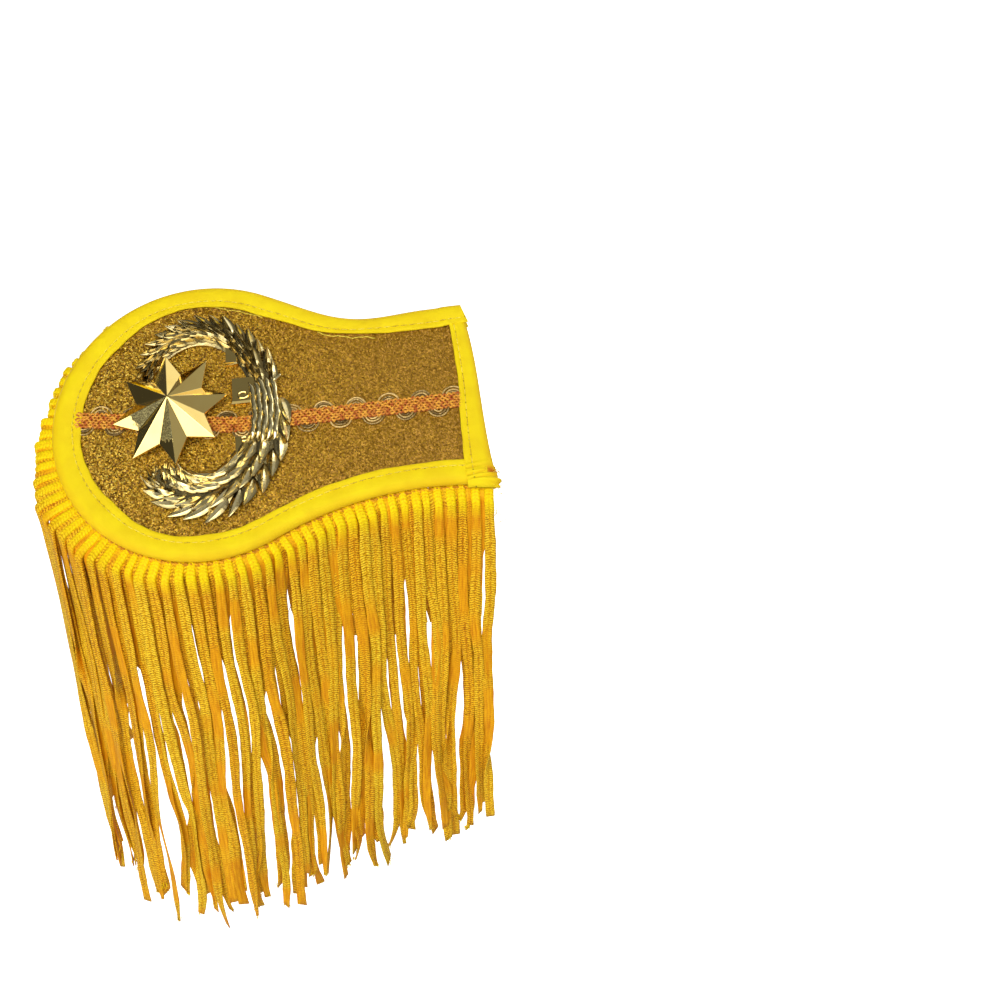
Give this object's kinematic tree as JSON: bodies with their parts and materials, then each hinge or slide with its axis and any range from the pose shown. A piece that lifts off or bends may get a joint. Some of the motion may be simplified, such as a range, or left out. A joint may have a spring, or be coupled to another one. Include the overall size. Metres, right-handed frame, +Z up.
{
  "type": "bullion epaulette",
  "caption": "Shoulder board with a round head, bound rim, centre braid, laurel wreath and star badges, and a long cord fringe round three sides.",
  "frame": {"origin": "middle of the seat on the underside of the board, under the strap, 40 mm from the strap end", "axes": "+Z up, +X towards the strap end, +Y towards the far side; the board is rolled 34 degrees about X with its near side low, its head droops 4 degrees, and the fringe hangs straight down"},
  "size_m": [0.1695, 0.0956, 0.252],
  "materials": {
    "glitter_cloth": "coarse glitter",
    "binding_tape": "woven satin",
    "metal_thread": "knitted metal thread",
    "badge_metal": "pale polished cast",
    "fringe_cord": "knitted rayon cord",
    "pin_metal": "plain"
  },
  "bodies": {
    "root": {"board": "glitter_cloth", "edge_binding": "binding_tape", "end_binding": "binding_tape", "centre_braid": "metal_thread", "wreath_badge": "badge_metal", "star_badge": "badge_metal", "fringe": "fringe_cord", "pin_bar": "pin_metal"}
  },
  "joints": []
}
